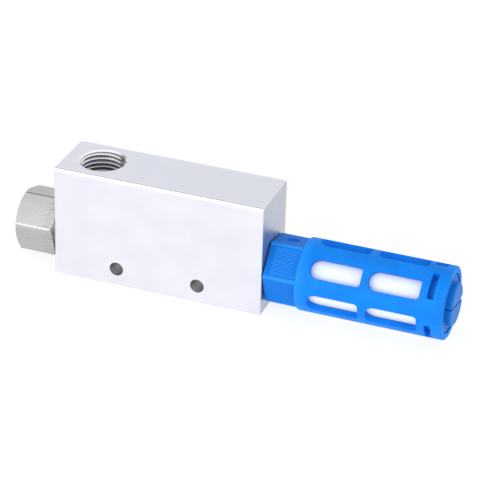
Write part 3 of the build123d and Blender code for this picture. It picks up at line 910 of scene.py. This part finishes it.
def hex_bar(start, end, across_flats, turn, corner_radius):
    """A hexagonal bar along the bore, one corner turned up from the front by an angle."""
    corner = across_flats / 2 / math.cos(math.radians(30))
    bar = turned([(start, corner), (end, corner)], steps=6, seam=turn)
    along = lambda e: spans(e, 0) > (end - start) / 2
    print("long corners rounded:", round_edges(bar, along, corner_radius, 4))
    return bar


inlet_face = inlet_low.x
hex_back = supply_end - COLLAR_LENGTH
turned_end = INLET_FLATS / 2 - 0.1
inlet = hex_bar(inlet_face, hex_back, INLET_FLATS, INLET_TURN, 0.3)
double_cone = turned([
    (inlet_face, turned_end - 0.12),
    (inlet_face + 0.12, turned_end + 0.06),
    (inlet_face + CORNER_CUT, inlet_corner),
    (hex_back - BACK_CUT, inlet_corner),
    (hex_back, inlet_corner - 0.8),
])
cut(inlet, double_cone, "INTERSECT")

# %% Collar, ring groove and threaded shank
inlet_nose = inlet_high.x
GROOVE_RADIUS, RELIEF_RADIUS = 5.67, 6.5
groove = (supply_end, supply_end + 1.62)
shank = turned([
    (inlet_face + 4.0, 5.0),
    (hex_back - 0.5, 5.0),
    (hex_back - 0.5, COLLAR_RADIUS - 0.15),
    (supply_end - COLLAR_LENGTH + 0.15, COLLAR_RADIUS),
    (supply_end - 0.15, COLLAR_RADIUS),
    (supply_end, COLLAR_RADIUS - 0.15),
    (groove[0], GROOVE_RADIUS),
    (groove[1], GROOVE_RADIUS),
    (groove[1], RELIEF_RADIUS - 0.1),
    (groove[1] + 0.12, RELIEF_RADIUS),
    (groove[1] + 0.35, RELIEF_RADIUS),
    (groove[1] + 0.6, CORE_RADIUS),
    (inlet_nose - 0.3, CORE_RADIUS),
    (inlet_nose, CORE_RADIUS - 0.3),
])
cut(inlet, shank, "UNION")

# %% Port, passage and nozzle seat, bored from the free end
SUPPLY_DEPTH, PASSAGE_RADIUS, SEAT_RADIUS, SEAT_DEPTH = 10.5, 2.6, 4.03, 6.0
drill = turned([
    (inlet_face - 0.5, thread_radius + 1.0),
    (inlet_face + 0.5, thread_radius),
    (inlet_face + SUPPLY_DEPTH, thread_radius),
    (inlet_face + SUPPLY_DEPTH, PASSAGE_RADIUS),
    (inlet_nose - SEAT_DEPTH, PASSAGE_RADIUS),
    (inlet_nose - SEAT_DEPTH, SEAT_RADIUS),
    (inlet_nose + 1.0, SEAT_RADIUS),
])
cut(inlet, drill)
clean(inlet)
inlet = joined([inlet, shank_thread(supply_thread_start, 4)])
finished(inlet, "inlet_fitting_plated", nickel, "inlet", "inlet_fitting")
hole_thread(
    "supply_port_thread", inlet_face + 0.75, 7, bore_thread_metal, "inlet"
)

# %% [markdown]
# ## Silencer housing
#
# The blue housing is one moulding: threaded shank, hex, and a long cage with two rows of windows.  Every
# window has softly rounded edges, which plain cutting on a curved wall can't give.  So the wall is made
# flat, as a strip as long as the cage's circumference.  On a flat strip each window is a simple cut and
# its edges bevel evenly.  The strip is then sliced into narrow columns and rolled up into a tube.

# %% The strip and its outline
CAGE_RADIUS, CAGE_WALL = 10.8, 2.0
CAGE_BORE = CAGE_RADIUS - CAGE_WALL
SILENCER_TURN = 11.3
RIM_ROUND, INNER_RIM_ROUND = 0.55, 0.15
cavity_start = element_low.x
rim_x = plug_high.x - 1.6
girth = 2 * math.pi * CAGE_RADIUS


def around(angle):
    """Place along the strip of an angle round the cage, from the front, in degrees."""
    return CAGE_RADIUS * math.radians(angle - SILENCER_TURN)


wall = box((cavity_start, 0, -CAGE_WALL), (rim_x, girth, 0))
at_rim = lambda e, z: lies_at(e, 0, rim_x) and lies_at(e, 2, z)
round_edges(wall, lambda e: at_rim(e, 0.0), RIM_ROUND, 5)
round_edges(wall, lambda e: at_rim(e, -CAGE_WALL), INNER_RIM_ROUND, 2)
print("strip", round(rim_x - cavity_start, 2), "by", round(girth, 2))

# %% [markdown]
# The windows' side walls are parallel on the real part, so that the mould's cores can be pulled straight
# out.  On the strip that means a cutter that widens towards the bore: its lower end is resized until
# both ends have the same width once rolled.

# %% Windows
WINDOW_WIDTH, WINDOW_LENGTH, WINDOW_PITCH, WINDOW_INSET = 5.8, 15.2, 17.4, 3.9
HEX_END_ROUND, RIM_END_ROUND = 2.7, 1.15
WINDOW_EDGE_ROUND = 0.28


def rolled_half_width(radius):
    """Half a window's width along the strip at a radius, once rolled to parallel walls."""
    return CAGE_RADIUS * math.asin(WINDOW_WIDTH / 2 / radius)


def window_cutter(x, y):
    """A cutter for one window that starts at x and is centred at y along the strip."""
    half = rolled_half_width(CAGE_RADIUS)
    cutter = box((x, y - half, -CAGE_WALL - 1), (x + WINDOW_LENGTH, y + half, 1))
    upright = lambda e, place: lies_at(e, 0, place) and spans(e, 2) > 1
    round_edges(cutter, lambda e: upright(e, x), HEX_END_ROUND, 8)
    round_edges(cutter, lambda e: upright(e, x + WINDOW_LENGTH), RIM_END_ROUND, 5)
    slope = (rolled_half_width(CAGE_BORE) - half) / CAGE_WALL
    for below, end in ((CAGE_WALL + 1, lambda v: v.co.z < -1), (-1, lambda v: v.co.z > 0.5)):
        scale = (half + slope * below) / half
        resize = {"value": (1, scale, 1), "center_override": (x, y, 0)}
        edit(cutter, "VERT", end, bpy.ops.transform.resize, **resize)
    return cutter


cutters = []
for column in range(6):
    for row in range(2):
        window_x = cage_start + WINDOW_INSET + row * WINDOW_PITCH
        cutters.append(window_cutter(window_x, around(SILENCER_TURN + 30 + column * 60)))
windows = joined(cutters)
cut(wall, windows)
print("windows cut", len(cutters))

# %% Latch slots and the two moulding windows
LATCH_ARC, LATCH_END, LATCH_X = 44.0, 74.5, (81.3, 83.1)
CORE_ARC, CORE_END, CORE_X = 18.0, 115.5, (80.4, 84.1)
slots = []
for count, end, sweep, (x0, x1) in ((4, LATCH_END, LATCH_ARC, LATCH_X), (2, CORE_END, CORE_ARC, CORE_X)):
    for i in range(count):
        high = around(end + i * 360 / count)
        low = high - CAGE_RADIUS * math.radians(sweep)
        slot = box((x0, low, -CAGE_WALL - 1), (x1, high, 1))
        round_edges(slot, lambda e: spans(e, 2) > 1, 0.2, 3)
        slots.append(slot)
cut(wall, joined(slots))

# %% Round every cut edge on the outside, then open the strip's ends
def on_outside(edge, inset=0.05):
    """An edge of a cut on the strip's outer face, away from the strip's own outline."""
    inner = all(cavity_start + inset < v.co.x < rim_x - 0.7 for v in edge.verts)
    return lies_at(edge, 2, 0) and inner and edge.calc_face_angle(0) > 0.5


clean(wall, 0.0005)
print("window edges rounded:", round_edges(wall, on_outside, WINDOW_EDGE_ROUND, 3))
at_end = lambda f: lies_at(f, 0, cavity_start) or lies_at(f, 1, 0) or lies_at(f, 1, girth)
edit(wall, "FACE", at_end, bpy.ops.mesh.delete, type="FACE")

# %% Slice the strip into columns and roll it up
column_width = girth / TURNING_STEPS
only(wall)
bpy.ops.object.mode_set(mode="EDIT")
for column in range(1, TURNING_STEPS):
    bpy.ops.mesh.select_all(action="SELECT")
    bpy.ops.mesh.bisect(plane_co=(0, column * column_width, 0), plane_no=(0, 1, 0))
bpy.ops.object.mode_set(mode="OBJECT")
for vertex in wall.data.vertices:
    x, along, depth = vertex.co
    angle = math.radians(SILENCER_TURN) + along / CAGE_RADIUS
    radius = CAGE_RADIUS + depth
    vertex.co = (x, -radius * math.cos(angle), bore_height + radius * math.sin(angle))
clean(wall)
print("rolled cage", len(wall.data.polygons), "faces, open edges", open_edges(wall))

# %% [markdown]
# The hub closes the cage at the hex end: shoulder, end wall, neck and shank, turned in one go with the
# same number of steps as the cage has columns, so that the two meet point to point and merge.

# %% Hub
shank_start = housing_low.x
SILENCER_BORE = 4.4
SHOULDER_ROUND = 0.6
HUB_RADIUS = 7.0
hub_outline = [(cavity_start, CAGE_RADIUS), (cage_start + SHOULDER_ROUND, CAGE_RADIUS)]
shoulder_centre = (cage_start + SHOULDER_ROUND, CAGE_RADIUS - SHOULDER_ROUND)
hub_outline += arc(*shoulder_centre, SHOULDER_ROUND, 90, 180)[1:]
hub_outline += [
    (cage_start, HUB_RADIUS),
    (hex_start + 0.6, HUB_RADIUS),
    (hex_start + 0.6, CORE_RADIUS),
    (shank_start + 0.3, CORE_RADIUS),
    (shank_start, CORE_RADIUS - 0.3),
    (shank_start, SILENCER_BORE),
    (cavity_start, SILENCER_BORE),
    (cavity_start, CAGE_BORE),
]
hub = turned(hub_outline, capped=False, seam=SILENCER_TURN)
housing = clean(joined([wall, hub]))
print("cage and hub merged, open edges", open_edges(housing))

# %% [markdown]
# The hex is a separate bar that is united with the hub.  Its flats carry two marks of the mould: a round
# dimple on the flat that faces up, and fine ribs for the fingers on the front flat and on its opposite.

# %% Hex with its dimple and ribs
HEX_FLATS = 18.2
GRIP_BORE = 5.2
DIMPLE_RADIUS, DIMPLE_DEPTH, DIMPLE_INSET = 1.85, 0.5, 5.4


def facing_up(piece, x, angle, distance):
    """Move a piece modelled at the origin, facing +Z, onto the wall of the housing."""
    piece.matrix_world = (
        Matrix.Translation((x, 0, bore_height))
        @ Matrix.Rotation(math.radians(90 - angle), 4, "X")
        @ Matrix.Translation((0, 0, distance))
    )
    return settle(piece)


grip = hex_bar(hex_start, cage_start + 0.5, HEX_FLATS, SILENCER_TURN, 0.5)
round_edges(grip, lambda e: lies_at(e, 0, hex_start), 0.15, 3)
core = turned([(hex_start - 1, GRIP_BORE), (cage_start + 1, GRIP_BORE)])
cut(grip, core)
dimple = added(bpy.ops.mesh.primitive_cylinder_add, vertices=64, radius=DIMPLE_RADIUS, depth=4)
lower = lambda e: all(v.co.z < -1 for v in e.verts)
round_edges(dimple, lower, 0.25, 3)
dimple_place = (exhaust_end + DIMPLE_INSET, SILENCER_TURN + 90, HEX_FLATS / 2 - DIMPLE_DEPTH + 2)
cut(grip, facing_up(dimple, *dimple_place))

# %% Ribs on two opposite flats
RIB_PITCH, RIB_WIDTH, RIB_HEIGHT, RIB_COUNT = 0.6, 0.28, 0.2, 14
rib_ends = (hex_start + 2.0, cage_start + 0.2)
middle_x = sum(rib_ends) / 2
rib_half = (rib_ends[1] - rib_ends[0]) / 2
ribs = []
first_rib = box((-rib_half, -RIB_WIDTH / 2, -0.3), (rib_half, RIB_WIDTH / 2, RIB_HEIGHT))
crest = lambda e: all(v.co.z > 0 for v in e.verts)
round_edges(first_rib, crest, 0.05, 2)
for flat in (30, 210):
    for i in range(RIB_COUNT):
        rib = copy_of(first_rib)
        rib.data.transform(Matrix.Translation((0, (i - (RIB_COUNT - 1) / 2) * RIB_PITCH, 0)))
        ribs.append(facing_up(rib, middle_x, SILENCER_TURN + flat, HEX_FLATS / 2))
bpy.data.objects.remove(first_rib)
cut(grip, joined(ribs), "UNION")
cut(housing, grip, "UNION")
clean(housing)

# %% Shank thread, and the finished housing
housing = joined([housing, shank_thread(exhaust_thread_start, 7)])
finished(housing, "silencer_housing_moulded", nylon, "silencer", "silencer_housing")

# %% [markdown]
# ## Felt element
#
# The felt tube is turned with many short stations, so that its surface has points to move, and then
# roughened by a few hundredths of a millimetre with a displacement driven by a cloud pattern.

# %% Felt tube
element_radius = element_high.z - bore_height
ELEMENT_BORE = 5.2
felt_rows = 70
felt_step = (element_high.x - element_low.x) / felt_rows
outside = [(element_low.x + i * felt_step, element_radius - 0.03) for i in range(felt_rows + 1)]
tube = turned(
    outside + [(element_high.x, ELEMENT_BORE), (element_low.x, ELEMENT_BORE), outside[0]],
    seam=SILENCER_TURN,
)
matted = bpy.data.textures.new("matted_fibres", "CLOUDS")
matted.noise_scale = 0.9
matted.noise_depth = 3
modify(tube, "DISPLACE", texture=matted, strength=0.12, mid_level=0.6)
low_x, high_x = element_low.x, element_high.x
for vertex in tube.data.vertices:
    vertex.co.x = min(max(vertex.co.x, low_x), high_x)
finished(tube, "silencer_felt", felt, "silencer", "silencer_element")

# %% [markdown]
# ## End plug
#
# The plug snaps into the rim: its four tabs stand in the cage's slots.  Its split boss is what a
# screwdriver turns.  The section is turned, the slit and its V notch are cut, and one tab is swept round
# the axis and copied to the other three places.

# %% Turned plug
plug_face = rim_x - 0.4
plug_radius = CAGE_BORE - 0.1
SKIRT_LENGTH, SKIRT_WALL, FACE_THICKNESS = 5.8, 1.6, 2.4
SPIGOT_RADIUS, SPIGOT_BORE = 5.0, 3.6
BOSS_RADIUS, BOSS_EDGE = 6.4, 0.4
skirt_start = plug_face - SKIRT_LENGTH
inner_face = plug_face - FACE_THICKNESS
boss_end = plug_high.x
plug_outline = [
    (plug_low.x, SPIGOT_BORE),
    (plug_low.x, SPIGOT_RADIUS - 0.2),
    (plug_low.x + 0.2, SPIGOT_RADIUS),
    (inner_face, SPIGOT_RADIUS),
    (inner_face, plug_radius - SKIRT_WALL),
    (skirt_start, plug_radius - SKIRT_WALL),
    (skirt_start, plug_radius - 0.15),
    (skirt_start + 0.15, plug_radius),
    (plug_face - 0.2, plug_radius),
    (plug_face - 0.06, plug_radius - 0.06),
    (plug_face, plug_radius - 0.2),
    (plug_face, BOSS_RADIUS + 0.15),
    (plug_face + 0.15, BOSS_RADIUS),
    (boss_end - BOSS_EDGE, BOSS_RADIUS),
    (boss_end - 0.12, BOSS_RADIUS - BOSS_EDGE + 0.1),
    (boss_end, BOSS_RADIUS - BOSS_EDGE - 0.05),
]
plug = turned([(inner_face, SPIGOT_BORE)] + plug_outline, seam=SILENCER_TURN)
print("plug turned, open edges", open_edges(plug))

# %% Slit and notch
SLIT_WIDTH, NOTCH_WIDTH, NOTCH_DEPTH, NOTCH_RISE = 0.45, 2.6, 2.4, 0.6
slit = box((plug_face, -10, -SLIT_WIDTH / 2), (boss_end + 1, 10, SLIT_WIDTH / 2))
slit.data.transform(Matrix.Translation((0, 0, bore_height)))
cut(plug, turn_about_bore(slit, SILENCER_TURN))
wedge = {"vertices": 3, "radius": 1, "depth": boss_end - plug_face + 1}
wedge["rotation"] = (0, math.pi / 2, 0)
notch = settle(added(bpy.ops.mesh.primitive_cylinder_add, **wedge))
notch.rotation_euler.x = math.pi
notch.scale = (1, NOTCH_DEPTH / 0.75, NOTCH_WIDTH / 0.866)
notch_y = BOSS_RADIUS - NOTCH_DEPTH + NOTCH_DEPTH / 0.75
notch.location = ((boss_end + plug_face + 1) / 2, notch_y, bore_height + NOTCH_RISE)
cut(plug, turn_about_bore(settle(notch), SILENCER_TURN))
print("slit and notch cut, open edges", open_edges(plug))

# %% Tabs
TAB_START, TAB_ARC, TAB_REACH = 30.6, 28.0, plug_radius + 0.9
tab_x = (LATCH_X[0] + 0.1, LATCH_X[1] - 0.1)
TAB_ROOT = plug_radius - 0.8
tab_place = (sum(tab_x) / 2, -(TAB_REACH + TAB_ROOT) / 2, bore_height)
tab = added(bpy.ops.mesh.primitive_plane_add, size=1, location=tab_place)
tab.scale = (tab_x[1] - tab_x[0], TAB_REACH - TAB_ROOT, 1)
settle(tab)
sweep = {"steps": 14, "angle": math.radians(TAB_ARC), "center": (0, 0, bore_height)}
edit(tab, "FACE", lambda f: True, bpy.ops.mesh.spin, axis=(-1, 0, 0), **sweep)
clean(tab)
print("tab open edges", open_edges(tab))
outer_edge = lambda e: all(math.hypot(v.co.y, v.co.z - bore_height) > TAB_REACH - 0.01 for v in e.verts)
long_edge = lambda e: outer_edge(e) and spans(e, 0) < 0.01
round_edges(tab, long_edge, 0.12, 2)
for quarter in range(4):
    cut(plug, turn_about_bore(copy_of(tab), TAB_START + quarter * 90), "UNION")
bpy.data.objects.remove(tab)
clean(plug)
finished(plug, "silencer_end_plug_moulded", plug_nylon_shaded, "end_plug", "silencer_end_plug")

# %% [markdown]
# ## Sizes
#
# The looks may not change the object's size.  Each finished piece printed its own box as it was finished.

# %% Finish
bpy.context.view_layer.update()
